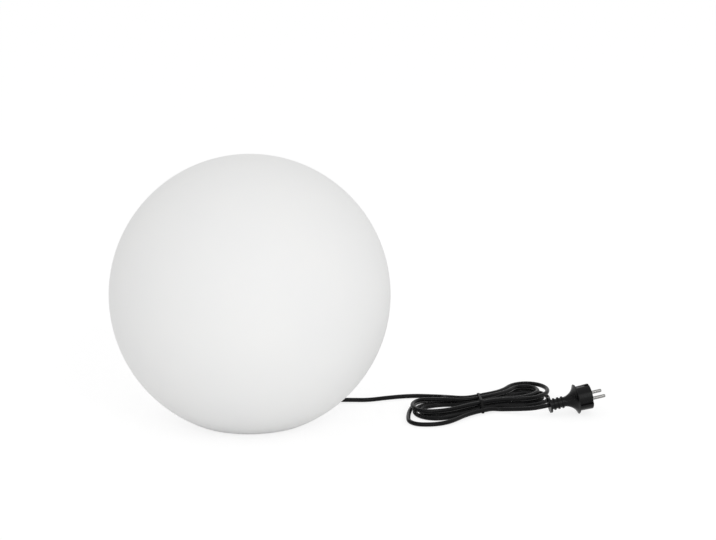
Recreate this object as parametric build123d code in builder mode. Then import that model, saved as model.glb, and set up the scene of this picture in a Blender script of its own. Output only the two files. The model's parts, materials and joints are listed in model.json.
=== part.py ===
from build123d import *
from math import asin, cos, degrees, pi, radians, sin, sqrt, tan
import os

# Garden globe light: a white moulded globe screwed down on a black base with a lampholder, an LED
# lamp inside, and a rubber cord that lies beside it in a tied hank, with a moulded plug on its end.
# Millimetres, +Z up. The origin is on the floor under the globe's centre. The view that these
# directions are told from looks along +Y, so that +X is to its right.

# ---------------------------------------------------------------- driving dimensions
# globe
globe_radius = 200.0
globe_wall = 3.5
flat_radius = 90.0            # where the ball's round flank meets its flat underside
ring_floor_gap = 1.5          # the flat underside clears the floor that the feet stand on
ring_edge_fillet = 12.0
recess_radius = 76.0          # the hollow in the underside that takes the base plate
neck_radius = 56.0            # the hole that the lamp goes through
boss_radius = 6.0
boss_height = 11.0
insert_radius = 3.6
insert_bore_radius = 2.3
insert_length = 9.0
insert_hole_depth = 12.0

# base plate
plate_clearance = 2.0         # round the base plate, in the recess
plate_top = 13.5
plate_thickness = 3.0
rim_width = 4.0
rim_lift = 0.6                # of the rim above the pads that hold the feet
hub_radius = 30.0
hub_wall = 3.0
hub_height = 32.0             # above the plate's top
rib_width = 2.2
rib_depth = 5.0
rib_count = 7
rib_turn = 41.0               # of the first rib from the cord's way out, degrees
rib_pitch = 45.0
gasket_thickness = 2.0
gasket_margin = 1.2           # inside the plate's edge and outside the neck
foot_radius = 7.0
foot_height = 3.0
foot_margin = 3.0             # between a foot and the plate's rim
foot_count = 4
foot_turn = 22.0              # of the first foot from the cord's way out
foot_pocket_depth = 1.2
pad_wall = 1.5

# screws that hold the globe down, from below
base_screw_count = 4
base_screw_turn = 60.0        # of the first screw from the cord's way out
base_screw_radius = 2.0
base_screw_head_radius = 3.8
base_screw_head_height = 2.6
base_screw_seat = 5.0         # of the head's seat below the plate's top
base_screw_reach = 7.0        # into the insert
screw_clearance = 0.3
socket_key_radius = 1.2
socket_key_depth = 1.4

# riser that carries the lampholder
column_height = 72.0          # above the plate's top
column_wall = 3.0
column_top_radius = 22.0
column_flange_radius = 44.0
column_flange_thickness = 3.0
column_screw_count = 3
column_screw_turn = 60.0
column_screw_radius = 1.6
column_screw_head_radius = 3.0
column_screw_head_height = 2.0
column_screw_length = 9.0
column_boss_wall = 1.8
fit_gap = 0.3                 # between pieces that slide into each other
thread_gap = 0.05             # round what is screwed or pressed in
cut_margin = 1.0              # by which a cut runs past the face that it opens

# threaded tube, nut and lampholder
nipple_radius = 5.0
nipple_bore_radius = 3.6
nipple_length = 13.0
nipple_tail = 2.0             # below the nut
nut_across_flats = 17.0
nut_thickness = 3.0
holder_radius = 19.5
holder_wall = 2.0
holder_cap_height = 20.0
holder_cap_neck_radius = 12.0
holder_cap_neck_height = 3.0
holder_cap_flare = 8.0
insert_disc_thickness = 10.0
sleeve_height = 40.0
sleeve_lip_radius = 14.2
sleeve_lip_height = 3.0
sleeve_groove_depth = 0.8
sleeve_groove_width = 1.6
sleeve_groove_step = 5.0
sleeve_grooves = 5
shell_bore_radius = 13.35
shell_wall = 0.5
shell_height = 24.0
shell_floor_hole_radius = 6.5
contact_strip_width = 5.0
contact_strip_thickness = 0.6
contact_strip_rise = 2.5
contact_strip_half_length = 5.6
contact_strip_foot = 1.4
contact_strip_crown = 2.4
terminal_screw_radius = 1.6
terminal_screw_head_radius = 2.6
terminal_screw_head_height = 1.6
terminal_screw_length = 5.0
terminal_screw_offset = 13.0

# lamp
lamp_cap_radius = 13.05
lamp_cap_height = 21.0
lamp_cap_wall = 0.4
lamp_cap_floor_radius = 9.0
lamp_insulator_height = 4.0
lamp_insulator_radius = 11.0
lamp_tip_radius = 4.6
lamp_tip_height = 2.0
lamp_tip_fillet = 0.8
lamp_neck_radius = 13.8
lamp_body_height = 34.0
lamp_body_radius = 27.5
lamp_body_wall = 1.6
lamp_body_belly = 21.0        # the body's radius half way up its flare
lamp_length = 112.0
diffuser_wall = 1.4
led_board_thickness = 1.6
contact_gap = 0.2             # between the lamp's tip and the spring contact
lamp_lip_gap = 0.6            # between the lamp's flare and the lampholder's mouth

# cord and what holds it
cord_radius = 3.15
cord_azimuth = 21.5           # direction in which the cord leaves the base, degrees from +X
gland_height = 5.8            # of the cord's axis where it leaves the base
cord_bend_radius = 25.5       # where it turns up into the hub
core_radius = 1.25
core_spread = 1.47            # of each core from the cord's axis
core_bend_radius = 4.5
core_landing = 8.0            # of the cores' ends from the axis, at the lampholder
core_last_run = 2.8           # below the lampholder's insert
jacket_end_height = 66.0
relief_outside_length = 28.0  # of the tapered sleeve, from the base plate's edge
relief_root_radius = 4.8
relief_tip_radius = 4.0
relief_flange_radius = 5.2
relief_flange_length = 2.5
relief_neck_radius = 4.2
relief_groove_radius = 3.8
relief_groove_width = 1.6
relief_groove_start = 6.0     # of the first groove from the base plate's edge
relief_groove_step = 4.0
relief_grooves = 5
notch_clearance = 1.2
grommet_flange_radius = 8.0
grommet_neck_radius = 5.6
grommet_flange_thickness = 2.0
saddle_width = 24.0
saddle_depth = 6.0
saddle_height = 10.0
saddle_lift = 3.0             # above the hub's top
clamp_depth = 4.0
clamp_height = 8.0
clamp_screw_offset = 8.5
clamp_screw_radius = 1.5
clamp_screw_head_radius = 2.7
clamp_screw_head_height = 1.8
clamp_screw_length = 8.0      # in the clamp and the saddle together
earth_cap_radius = 3.0
earth_cap_length = 12.0
earth_cap_fillet = 1.2
earth_loop_reach = 14.0
earth_loop_top = 73.0
earth_loop_bottom = 60.0

# plug, along its axis from the back of its tail
plug_tail_radius = 11.4
plug_tail_length = 2.8
plug_sleeve_radius = 7.2
plug_rib_radius = 8.8
plug_rib_length = 1.9
plug_rib_step = 6.0
plug_rib_start = 5.2           # of the first rib's middle from the tail's flange
plug_ribs = 3
plug_bell_start = 24.0
plug_bell_middle = (10.9, 32.6)
plug_collar_radius = 21.65
plug_collar_at = 40.5
plug_collar_lip = 1.4
plug_body_radius = 18.5
plug_body_taper = 0.7
plug_body_length = 22.0
plug_face_fillet = 1.4
plug_notch_width = 8.6
plug_notch_depth = 3.4
earth_strip_width = 4.6
earth_strip_thickness = 1.0
earth_strip_depth = 1.8
earth_strip_end = 7.0          # of the strip before the plug's face
bridge_radius = 13.2
bridge_length = 9.0
bridge_proud = 0.5
pin_radius = 2.4
pin_length = 19.0
pin_pitch = 19.0
pin_root = 6.0
pin_root_radius = 2.0
pin_tip_fillet = 1.6
plug_tilt = 10.0              # nose up, degrees
plug_azimuth = 10.0
plug_roll = 5.0               # lowers the nearer pin, degrees
plug_collar_place = (468.6, 4.6)

# the cord's lie on the floor
lead_points = [(143.0, 54.2), (167.5, 53.0), (194.0, 62.8), (219.0, 70.0), (241.0, 72.5)]
lead_first_run = 24.0
hank_entry = (259.3, 70.7)
hank_ramp_end = (298.6, 39.9, 11.4)
hank_ramp_heading = -26.6
hank_ramp_slope = 0.08
waist_place = (331.8, 28.5)
waist_heading = 29.3
layer_step = 7.0
inner_strand_offset = 8.0     # of the innermost strands from the middle of the waist
strand_step = 8.6             # from each strand to the next one out, at the waist
last_strand_offset = 24.2
upper_front_offset = 10.6
lower_back_offset = 10.9
cross_heading = 3.7           # of the strand that changes layer, off the hank's axis
cross_slope = 0.07            # of that strand, downwards
last_strand_heading = -4.0
hank_exit = (371.0, 8.5, 4.6)
plug_lead_middle = (391.0, 1.9, 7.2)
plug_lead_straight = 20.0
tie_width = 4.6
tie_thickness = 1.2
tie_gap = 0.4
tie_turn = -8.0               # off square to the strands
floor_gap = 0.1               # under what lies on the floor beside the globe

os.makedirs("parts", exist_ok=True)

# ---------------------------------------------------------------- places that follow from them
cut_height = ring_floor_gap
pole = 90.0                   # where a ball's outline meets its axis, degrees
globe_centre = cut_height + sqrt(globe_radius**2 - flat_radius**2)
inner_globe_radius = globe_radius - globe_wall
inner_bottom = cut_height + globe_wall
inner_cut_radius = sqrt(inner_globe_radius**2 - (globe_centre - inner_bottom) ** 2)
outer_start = -degrees(asin((globe_centre - cut_height) / globe_radius))
inner_start = -degrees(asin((globe_centre - inner_bottom) / inner_globe_radius))
plate_radius = recess_radius - plate_clearance
boss_circle_radius = (neck_radius + plate_radius) / 2
foot_circle_radius = plate_radius - rim_width - foot_margin - foot_radius
plate_under = plate_top - plate_thickness
flange_bottom = plate_top + gasket_thickness
flange_top = flange_bottom + globe_wall
pad_bottom = foot_height - foot_pocket_depth
rim_bottom = pad_bottom + rim_lift
hub_top = plate_top + hub_height
column_bore = hub_radius + fit_gap
column_screw_circle = (column_bore + column_wall + column_flange_radius) / 2
column_shoulder = hub_top + column_wall
column_top = plate_top + column_height
nipple_base = column_top - column_wall - nut_thickness - nipple_tail
cap_top = column_top + holder_cap_height
disc_radius = holder_radius - holder_wall - fit_gap
disc_bottom = cap_top - insert_disc_thickness / 2
disc_top = cap_top + insert_disc_thickness / 2
shell_top = disc_top + shell_height
sleeve_top = cap_top + sleeve_height
strip_top = disc_top + contact_strip_rise + contact_strip_thickness
lamp_base = strip_top + contact_gap
insulator_base = lamp_base + lamp_tip_height
cap_base = insulator_base + lamp_insulator_height
cap_rim = cap_base + lamp_cap_height
flare_base = max(cap_rim, sleeve_top) + lamp_lip_gap
lamp_body_top = flare_base + lamp_body_height
lamp_top = lamp_base + lamp_length
notch_half_width = relief_root_radius + notch_clearance
notch_top = gland_height + notch_half_width

cord_direction = Vector(cos(radians(cord_azimuth)), sin(radians(cord_azimuth)), 0)
up = Vector(0, 0, 1)


def cord_plane(distance, height=gland_height):
    """The plane square to the cord at a distance from the axis: local x is up, z is outward."""
    return Plane(origin=cord_direction * distance + up * height, x_dir=up, z_dir=cord_direction)


def turns(count, first):
    """Directions evenly spaced about the axis, in degrees, told from the cord's exit."""
    return [cord_azimuth + first + 360 / count * i for i in range(count)]


def around(radius, turn):
    """A point on a circle about the axis."""
    return (radius * cos(radians(turn)), radius * sin(radians(turn)))


def spots(radius, directions):
    return [around(radius, turn) for turn in directions]


def save(shape, label):
    """Name a finished piece and write it."""
    shape.label = label
    export_step(shape, f"parts/{label}.step")


def side_plane(height):
    """A level plane with its local x square to the cord's way out."""
    return Plane(origin=(0, 0, height), x_dir=up.cross(cord_direction), z_dir=up)


base_screw_spots = spots(boss_circle_radius, turns(base_screw_count, base_screw_turn))
foot_spots = spots(foot_circle_radius, turns(foot_count, foot_turn))
column_screw_spots = spots(column_screw_circle, turns(column_screw_count, column_screw_turn))
rib_directions = [cord_azimuth + rib_turn + rib_pitch * i for i in range(rib_count)]

# ---------------------------------------------------------------- globe
notch_depth = sqrt(globe_radius**2 - (globe_centre - notch_top - globe_wall) ** 2) - recess_radius

with BuildPart() as channel_walls:
    with BuildSketch(cord_plane(recess_radius + globe_wall / 2, cut_height)):
        Rectangle(
            notch_top + globe_wall - cut_height,
            2 * (notch_half_width + globe_wall),
            align=(Align.MIN, Align.CENTER),
        )
    extrude(amount=notch_depth)
    with Locations((0, 0, globe_centre)):
        Sphere(globe_radius - globe_wall / 2, mode=Mode.INTERSECT)

with BuildPart() as globe_shell:
    with BuildSketch(Plane.XZ):
        with BuildLine():
            CenterArc((0, globe_centre), globe_radius, outer_start, pole - outer_start)
            Polyline(
                (flat_radius, cut_height),
                (recess_radius, cut_height),
                (recess_radius, flange_bottom),
                (neck_radius, flange_bottom),
                (neck_radius, flange_top),
                (recess_radius + globe_wall, flange_top),
                (recess_radius + globe_wall, inner_bottom),
                (inner_cut_radius, inner_bottom),
            )
            CenterArc((0, globe_centre), inner_globe_radius, inner_start, pole - inner_start)
            Line((0, globe_centre + inner_globe_radius), (0, globe_centre + globe_radius))
        make_face()
    revolve(axis=Axis.Z)
    lowest = globe_shell.edges().filter_by(GeomType.CIRCLE).group_by(Axis.Z)[0]
    fillet(lowest.sort_by(SortBy.RADIUS)[-1], ring_edge_fillet)
    with BuildSketch(Plane.XY.offset(flange_top)):
        with Locations(*base_screw_spots):
            Circle(boss_radius)
    extrude(amount=boss_height)
    add(channel_walls.part)
    # the way out for the cord, open at the bottom
    with BuildSketch(cord_plane(neck_radius + boss_radius)):
        Circle(notch_half_width)
        Rectangle(gland_height + notch_half_width, 2 * notch_half_width, align=(Align.MAX, Align.CENTER))
    extrude(amount=notch_depth + recess_radius - neck_radius + globe_wall, mode=Mode.SUBTRACT)
    with BuildSketch(Plane.XY.offset(flange_bottom)):
        with Locations(*base_screw_spots):
            Circle(insert_radius)
    extrude(amount=insert_hole_depth, mode=Mode.SUBTRACT)
save(globe_shell.part, "globe_shell")

with BuildPart() as boss_inserts:
    with BuildSketch(Plane.XY.offset(flange_bottom)):
        with Locations(*base_screw_spots):
            Circle(insert_radius)
            Circle(insert_bore_radius, mode=Mode.SUBTRACT)
    extrude(amount=insert_length)
save(boss_inserts.part, "boss_inserts")

# ---------------------------------------------------------------- base
head_seat = plate_top - base_screw_seat
boss_outer_radius = base_screw_head_radius + screw_clearance + pad_wall
with BuildPart() as base_plate:
    with BuildSketch(Plane.XZ):
        with BuildLine():
            Polyline(
                (grommet_neck_radius, hub_top),
                (hub_radius, hub_top),
                (hub_radius, plate_top),
                (plate_radius, plate_top),
                (plate_radius, rim_bottom),
                (plate_radius - rim_width, rim_bottom),
                (plate_radius - rim_width, plate_under),
                (hub_radius - hub_wall, plate_under),
                (hub_radius - hub_wall, hub_top - hub_wall),
                (grommet_neck_radius, hub_top - hub_wall),
                close=True,
            )
        make_face()
    revolve(axis=Axis.Z)
    with BuildSketch(Plane.XY.offset(plate_under - rib_depth)):
        for turn in rib_directions:
            with Locations(Location(around((hub_radius + plate_radius - rim_width) / 2, turn), turn)):
                Rectangle(plate_radius - rim_width - hub_radius + 2 * hub_wall, rib_width)
    extrude(amount=rib_depth + plate_thickness / 2)
    with BuildSketch(Plane.XY.offset(pad_bottom)):
        with Locations(*foot_spots):
            Circle(foot_radius + pad_wall)
    extrude(amount=plate_under - pad_bottom + plate_thickness / 2)
    with BuildSketch(Plane.XY.offset(rim_bottom)):
        with Locations(*base_screw_spots):
            Circle(boss_outer_radius)
    extrude(amount=plate_under - rim_bottom + plate_thickness / 2)
    with BuildSketch(Plane.XY.offset(plate_under - rib_depth)):
        with Locations(*column_screw_spots):
            Circle(column_screw_radius + column_boss_wall)
    extrude(amount=rib_depth + plate_thickness / 2)
    # pockets for the feet, then the screws' ways through
    with BuildSketch(Plane.XY.offset(pad_bottom)):
        with Locations(*foot_spots):
            Circle(foot_radius)
    extrude(amount=foot_pocket_depth, mode=Mode.SUBTRACT)
    with BuildSketch(Plane.XY.offset(rim_bottom)):
        with Locations(*base_screw_spots):
            Circle(base_screw_head_radius + screw_clearance)
    extrude(amount=head_seat - rim_bottom, mode=Mode.SUBTRACT)
    with BuildSketch(Plane.XY.offset(rim_bottom)):
        with Locations(*base_screw_spots):
            Circle(base_screw_radius + screw_clearance)
    extrude(amount=plate_top - rim_bottom, mode=Mode.SUBTRACT)
    with BuildSketch(Plane.XY.offset(plate_top)):
        with Locations(*column_screw_spots):
            Circle(column_screw_radius + thread_gap)
    extrude(amount=-(plate_thickness + rib_depth), mode=Mode.SUBTRACT)
    # the slot that holds the strain relief's neck, and the pocket behind it for its flange
    with BuildSketch(cord_plane(plate_radius + cut_margin)):
        Circle(relief_neck_radius + thread_gap)
        Rectangle(gland_height, 2 * (relief_neck_radius + thread_gap), align=(Align.MAX, Align.CENTER))
    extrude(amount=-(rim_width + 2 * cut_margin), mode=Mode.SUBTRACT)
    with BuildSketch(cord_plane(plate_radius - rim_width)):
        Circle(relief_flange_radius + fit_gap)
    extrude(amount=-(relief_flange_length + fit_gap), mode=Mode.SUBTRACT)
    # the saddle that the cord is clamped to, inside the riser
    with BuildSketch(Plane(origin=(0, 0, hub_top), x_dir=cord_direction, z_dir=up)):
        with Locations((-(cord_radius + saddle_depth) / 2 - cord_radius / 2, 0)):
            Rectangle(saddle_depth, saddle_width)
    extrude(amount=saddle_lift + saddle_height)
    with BuildSketch(Plane.XY.offset(hub_top)):
        Circle(grommet_flange_radius + fit_gap)
    extrude(amount=grommet_flange_thickness + fit_gap, mode=Mode.SUBTRACT)
    with BuildSketch(cord_plane(-cord_radius, hub_top + saddle_lift + saddle_height / 2)):
        with Locations((0, clamp_screw_offset), (0, -clamp_screw_offset)):
            Circle(clamp_screw_radius + thread_gap)
    extrude(amount=-saddle_depth, mode=Mode.SUBTRACT)
save(base_plate.part, "base_plate")

with BuildPart() as rubber_feet:
    with BuildSketch():
        with Locations(*foot_spots):
            Circle(foot_radius)
    extrude(amount=foot_height)
save(rubber_feet.part, "rubber_feet")

with BuildPart() as base_gasket:
    with BuildSketch(Plane.XY.offset(plate_top)):
        Circle(plate_radius - gasket_margin)
        Circle(neck_radius + gasket_margin, mode=Mode.SUBTRACT)
        with Locations(*base_screw_spots):
            Circle(base_screw_radius + screw_clearance, mode=Mode.SUBTRACT)
    extrude(amount=gasket_thickness)
save(base_gasket.part, "base_gasket")

with BuildPart() as base_screws:
    with BuildSketch(Plane.XY.offset(head_seat - base_screw_head_height)):
        with Locations(*base_screw_spots):
            Circle(base_screw_head_radius)
    extrude(amount=base_screw_head_height)
    with BuildSketch(Plane.XY.offset(head_seat)):
        with Locations(*base_screw_spots):
            Circle(base_screw_radius)
    extrude(amount=flange_bottom + base_screw_reach - head_seat)
    with BuildSketch(Plane.XY.offset(head_seat - base_screw_head_height)):
        with Locations(*base_screw_spots):
            RegularPolygon(socket_key_radius, 6)
    extrude(amount=socket_key_depth, mode=Mode.SUBTRACT)
save(base_screws.part, "base_screws")

# ---------------------------------------------------------------- riser
with BuildPart() as lamp_column:
    with BuildSketch(Plane.XZ):
        with BuildLine():
            Polyline(
                (nipple_radius + thread_gap, column_top),
                (column_top_radius, column_top),
                (column_bore + column_wall, column_shoulder),
                (column_bore + column_wall, plate_top + column_flange_thickness),
                (column_flange_radius, plate_top + column_flange_thickness),
                (column_flange_radius, plate_top),
                (column_bore, plate_top),
                (column_bore, column_shoulder),
                (column_top_radius - column_wall, column_top - column_wall),
                (nipple_radius + thread_gap, column_top - column_wall),
                close=True,
            )
        make_face()
    revolve(axis=Axis.Z)
    with BuildSketch(Plane.XY.offset(plate_top)):
        with Locations(*column_screw_spots):
            Circle(column_screw_radius + thread_gap)
    extrude(amount=column_flange_thickness, mode=Mode.SUBTRACT)
save(lamp_column.part, "lamp_column")

with BuildPart() as column_screws:
    with BuildSketch(Plane.XY.offset(plate_top + column_flange_thickness)):
        with Locations(*column_screw_spots):
            Circle(column_screw_head_radius)
    extrude(amount=column_screw_head_height)
    with BuildSketch(Plane.XY.offset(plate_top + column_flange_thickness)):
        with Locations(*column_screw_spots):
            Circle(column_screw_radius)
    extrude(amount=-column_screw_length)
save(column_screws.part, "column_screws")

with BuildPart() as nipple:
    with BuildSketch(Plane.XY.offset(nipple_base)):
        Circle(nipple_radius)
        Circle(nipple_bore_radius, mode=Mode.SUBTRACT)
    extrude(amount=nipple_length)
save(nipple.part, "nipple")

with BuildPart() as locknut:
    with BuildSketch(Plane.XY.offset(column_top - column_wall)):
        RegularPolygon(nut_across_flats / 2, 6, major_radius=False)
        Circle(nipple_radius + thread_gap, mode=Mode.SUBTRACT)
    extrude(amount=-nut_thickness)
save(locknut.part, "locknut")

# ---------------------------------------------------------------- lampholder
flare_top = column_top + holder_cap_neck_height + holder_cap_flare
with BuildPart() as holder_cap:
    with BuildSketch(Plane.XZ):
        with BuildLine():
            Polyline(
                (nipple_radius + thread_gap, column_top),
                (holder_cap_neck_radius, column_top),
                (holder_cap_neck_radius, column_top + holder_cap_neck_height),
                (holder_radius, flare_top),
                (holder_radius, cap_top),
                (holder_radius - holder_wall, cap_top),
                (holder_radius - holder_wall, flare_top + holder_wall / 2),
                (holder_cap_neck_radius - holder_wall, column_top + holder_cap_neck_height + holder_wall),
                (nipple_radius + thread_gap, column_top + holder_cap_neck_height + holder_wall),
                close=True,
            )
        make_face()
    revolve(axis=Axis.Z)
save(holder_cap.part, "holder_cap")

with BuildPart() as holder_insert:
    with BuildSketch(Plane.XY.offset(disc_bottom)):
        Circle(disc_radius)
    extrude(amount=insert_disc_thickness)
    with BuildSketch(side_plane(disc_bottom)):
        with Locations((terminal_screw_offset, 0), (-terminal_screw_offset, 0)):
            Circle(terminal_screw_radius + thread_gap)
    extrude(amount=terminal_screw_length, mode=Mode.SUBTRACT)
save(holder_insert.part, "holder_insert")

with BuildPart() as terminal_screws:
    with BuildSketch(side_plane(disc_bottom)):
        with Locations((terminal_screw_offset, 0), (-terminal_screw_offset, 0)):
            Circle(terminal_screw_radius)
    extrude(amount=terminal_screw_length)
    with BuildSketch(side_plane(disc_bottom)):
        with Locations((terminal_screw_offset, 0), (-terminal_screw_offset, 0)):
            Circle(terminal_screw_head_radius)
    extrude(amount=-terminal_screw_head_height)
save(terminal_screws.part, "terminal_screws")

with BuildPart() as holder_sleeve:
    with BuildSketch(Plane.XZ):
        with BuildLine():
            Polyline(
                (holder_radius, cap_top),
                (holder_radius, sleeve_top),
                (sleeve_lip_radius, sleeve_top),
                (sleeve_lip_radius, sleeve_top - sleeve_lip_height),
                (holder_radius - holder_wall, sleeve_top - sleeve_lip_height),
                (holder_radius - holder_wall, cap_top),
                close=True,
            )
        make_face()
        # grip grooves round the outside
        with Locations(*[
            (holder_radius, (cap_top + sleeve_top) / 2 + sleeve_groove_step * (i - (sleeve_grooves - 1) / 2))
            for i in range(sleeve_grooves)
        ]):
            Rectangle(2 * sleeve_groove_depth, sleeve_groove_width, mode=Mode.SUBTRACT)
    revolve(axis=Axis.Z)
save(holder_sleeve.part, "holder_sleeve")

with BuildPart() as screw_shell:
    with BuildSketch(Plane.XZ):
        with BuildLine():
            Polyline(
                (shell_floor_hole_radius, disc_top),
                (shell_bore_radius + shell_wall, disc_top),
                (shell_bore_radius + shell_wall, shell_top),
                (shell_bore_radius, shell_top),
                (shell_bore_radius, disc_top + shell_wall),
                (shell_floor_hole_radius, disc_top + shell_wall),
                close=True,
            )
        make_face()
    revolve(axis=Axis.Z)
save(screw_shell.part, "screw_shell")

with BuildPart() as centre_contact:
    with BuildSketch(Plane.XZ):
        with BuildLine():
            Polyline(
                (-contact_strip_half_length, disc_top),
                (-contact_strip_half_length + contact_strip_foot, disc_top),
                (-contact_strip_crown + contact_strip_thickness, strip_top - contact_strip_thickness),
                (contact_strip_crown - contact_strip_thickness, strip_top - contact_strip_thickness),
                (contact_strip_half_length - contact_strip_foot, disc_top),
                (contact_strip_half_length, disc_top),
                (contact_strip_half_length, disc_top + contact_strip_thickness),
                (contact_strip_half_length - contact_strip_foot, disc_top + contact_strip_thickness),
                (contact_strip_crown, strip_top),
                (-contact_strip_crown, strip_top),
                (-contact_strip_half_length + contact_strip_foot, disc_top + contact_strip_thickness),
                (-contact_strip_half_length, disc_top + contact_strip_thickness),
                close=True,
            )
        make_face()
    extrude(amount=contact_strip_width / 2, both=True)
save(centre_contact.part, "centre_contact")

# ---------------------------------------------------------------- lamp
with BuildPart() as bulb_tip_contact:
    with BuildSketch(Plane.XY.offset(lamp_base)):
        Circle(lamp_tip_radius)
    extrude(amount=lamp_tip_height)
    fillet(bulb_tip_contact.edges().group_by(Axis.Z)[0], lamp_tip_fillet)
save(bulb_tip_contact.part, "bulb_tip_contact")

with BuildPart() as bulb_insulator:
    with BuildSketch(Plane.XZ):
        with BuildLine():
            Polyline(
                (0, insulator_base),
                (lamp_tip_radius, insulator_base),
                (lamp_insulator_radius, cap_base),
                (0, cap_base),
                close=True,
            )
        make_face()
    revolve(axis=Axis.Z)
save(bulb_insulator.part, "bulb_insulator")

with BuildPart() as bulb_cap_shell:
    with BuildSketch(Plane.XZ):
        with BuildLine():
            Polyline(
                (lamp_cap_floor_radius, cap_base),
                (lamp_cap_radius, cap_base),
                (lamp_cap_radius, cap_rim),
                (lamp_cap_radius - lamp_cap_wall, cap_rim),
                (lamp_cap_radius - lamp_cap_wall, cap_base + lamp_cap_wall),
                (lamp_cap_floor_radius, cap_base + lamp_cap_wall),
                close=True,
            )
        make_face()
    revolve(axis=Axis.Z)
save(bulb_cap_shell.part, "bulb_cap_shell")

flare_middle = (flare_base + lamp_body_top) / 2
with BuildPart() as bulb_body:
    with BuildSketch(Plane.XZ):
        with BuildLine():
            Polyline(
                (lamp_neck_radius - lamp_body_wall, flare_base),
                (lamp_neck_radius - lamp_body_wall, cap_rim),
                (lamp_neck_radius, cap_rim),
                (lamp_neck_radius, flare_base),
            )
            ThreePointArc(
                (lamp_neck_radius, flare_base),
                (lamp_body_belly, flare_middle),
                (lamp_body_radius, lamp_body_top),
            )
            Line((lamp_body_radius, lamp_body_top), (lamp_body_radius - lamp_body_wall, lamp_body_top))
            ThreePointArc(
                (lamp_body_radius - lamp_body_wall, lamp_body_top),
                (lamp_body_belly - lamp_body_wall, flare_middle),
                (lamp_neck_radius - lamp_body_wall, flare_base),
            )
        make_face()
    revolve(axis=Axis.Z)
save(bulb_body.part, "bulb_body")

dome_height = lamp_top - lamp_body_top
dome_radius = (lamp_body_radius**2 + dome_height**2) / (2 * dome_height)
dome_centre = lamp_top - dome_radius
dome_start = degrees(asin((lamp_body_top - dome_centre) / dome_radius))
dome_inner_radius = dome_radius - diffuser_wall
dome_inner_start = degrees(asin((lamp_body_top - dome_centre) / dome_inner_radius))
with BuildPart() as bulb_diffuser:
    with BuildSketch(Plane.XZ):
        with BuildLine():
            CenterArc((0, dome_centre), dome_radius, dome_start, pole - dome_start)
            Line((0, lamp_top), (0, lamp_top - diffuser_wall))
            CenterArc((0, dome_centre), dome_inner_radius, dome_inner_start, pole - dome_inner_start)
            Line(
                (dome_inner_radius * cos(radians(dome_inner_start)), lamp_body_top),
                (lamp_body_radius, lamp_body_top),
            )
        make_face()
    revolve(axis=Axis.Z)
save(bulb_diffuser.part, "bulb_diffuser")

with BuildPart() as led_board:
    with BuildSketch(Plane.XY.offset(lamp_body_top)):
        Circle(lamp_body_radius - lamp_body_wall - 2 * fit_gap)
    extrude(amount=-led_board_thickness)
save(led_board.part, "led_board")

# ---------------------------------------------------------------- cord inside the base
tip_distance = plate_radius + relief_outside_length
bend_end = gland_height + cord_bend_radius
with BuildPart() as inner_cord:
    with BuildLine() as inner_path:
        run_in = Line(cord_plane(tip_distance).origin, cord_plane(cord_bend_radius).origin)
        bend = TangentArc(run_in @ 1, (0, 0, bend_end), tangent=run_in % 1)
        Line(bend @ 1, (0, 0, jacket_end_height))
    with BuildSketch(Plane(origin=run_in @ 0, z_dir=run_in % 0)):
        Circle(cord_radius)
    sweep()
save(inner_cord.part, "inner_cord")

with BuildPart() as strain_relief:
    with BuildSketch(Plane(origin=(0, 0, gland_height), x_dir=up, z_dir=cord_direction.cross(up) * -1)):
        with BuildLine():
            inner_end = plate_radius - rim_width - relief_flange_length
            Polyline(
                (cord_radius + thread_gap, inner_end),
                (relief_flange_radius, inner_end),
                (relief_flange_radius, plate_radius - rim_width),
                (relief_neck_radius, plate_radius - rim_width),
                (relief_neck_radius, plate_radius),
                (relief_root_radius, plate_radius),
                (relief_tip_radius, tip_distance),
                (cord_radius + thread_gap, tip_distance),
                close=True,
            )
        make_face()
        # grooves that let the sleeve bend
        with Locations(*[
            (relief_groove_radius, plate_radius + relief_groove_start + relief_groove_step * i)
            for i in range(relief_grooves)
        ]):
            Rectangle(
                relief_root_radius - relief_groove_radius,
                relief_groove_width,
                align=(Align.MIN, Align.CENTER),
                mode=Mode.SUBTRACT,
            )
    revolve(axis=Axis((0, 0, gland_height), cord_direction))
save(strain_relief.part, "strain_relief")

with BuildPart() as cord_grommet:
    with BuildSketch(Plane.XZ):
        with BuildLine():
            Polyline(
                (cord_radius + thread_gap, hub_top + grommet_flange_thickness),
                (grommet_flange_radius, hub_top + grommet_flange_thickness),
                (grommet_flange_radius, hub_top),
                (grommet_neck_radius, hub_top),
                (grommet_neck_radius, hub_top - hub_wall),
                (grommet_flange_radius, hub_top - hub_wall),
                (grommet_flange_radius, hub_top - hub_wall - grommet_flange_thickness),
                (cord_radius + thread_gap, hub_top - hub_wall - grommet_flange_thickness),
                close=True,
            )
        make_face()
    revolve(axis=Axis.Z)
save(cord_grommet.part, "cord_grommet")

saddle_middle = hub_top + saddle_lift + saddle_height / 2
with BuildPart() as cord_clamp:
    with BuildSketch(cord_plane(cord_radius, saddle_middle)):
        Rectangle(clamp_height, saddle_width)
        with Locations((0, clamp_screw_offset), (0, -clamp_screw_offset)):
            Circle(clamp_screw_radius + thread_gap, mode=Mode.SUBTRACT)
    extrude(amount=clamp_depth)
save(cord_clamp.part, "cord_clamp")

with BuildPart() as clamp_screws:
    with BuildSketch(cord_plane(cord_radius + clamp_depth, saddle_middle)):
        with Locations((0, clamp_screw_offset), (0, -clamp_screw_offset)):
            Circle(clamp_screw_head_radius)
    extrude(amount=clamp_screw_head_height)
    with BuildSketch(cord_plane(cord_radius + clamp_depth, saddle_middle)):
        with Locations((0, clamp_screw_offset), (0, -clamp_screw_offset)):
            Circle(clamp_screw_radius)
    extrude(amount=-(2 * cord_radius + clamp_screw_length))
save(clamp_screws.part, "clamp_screws")


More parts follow.
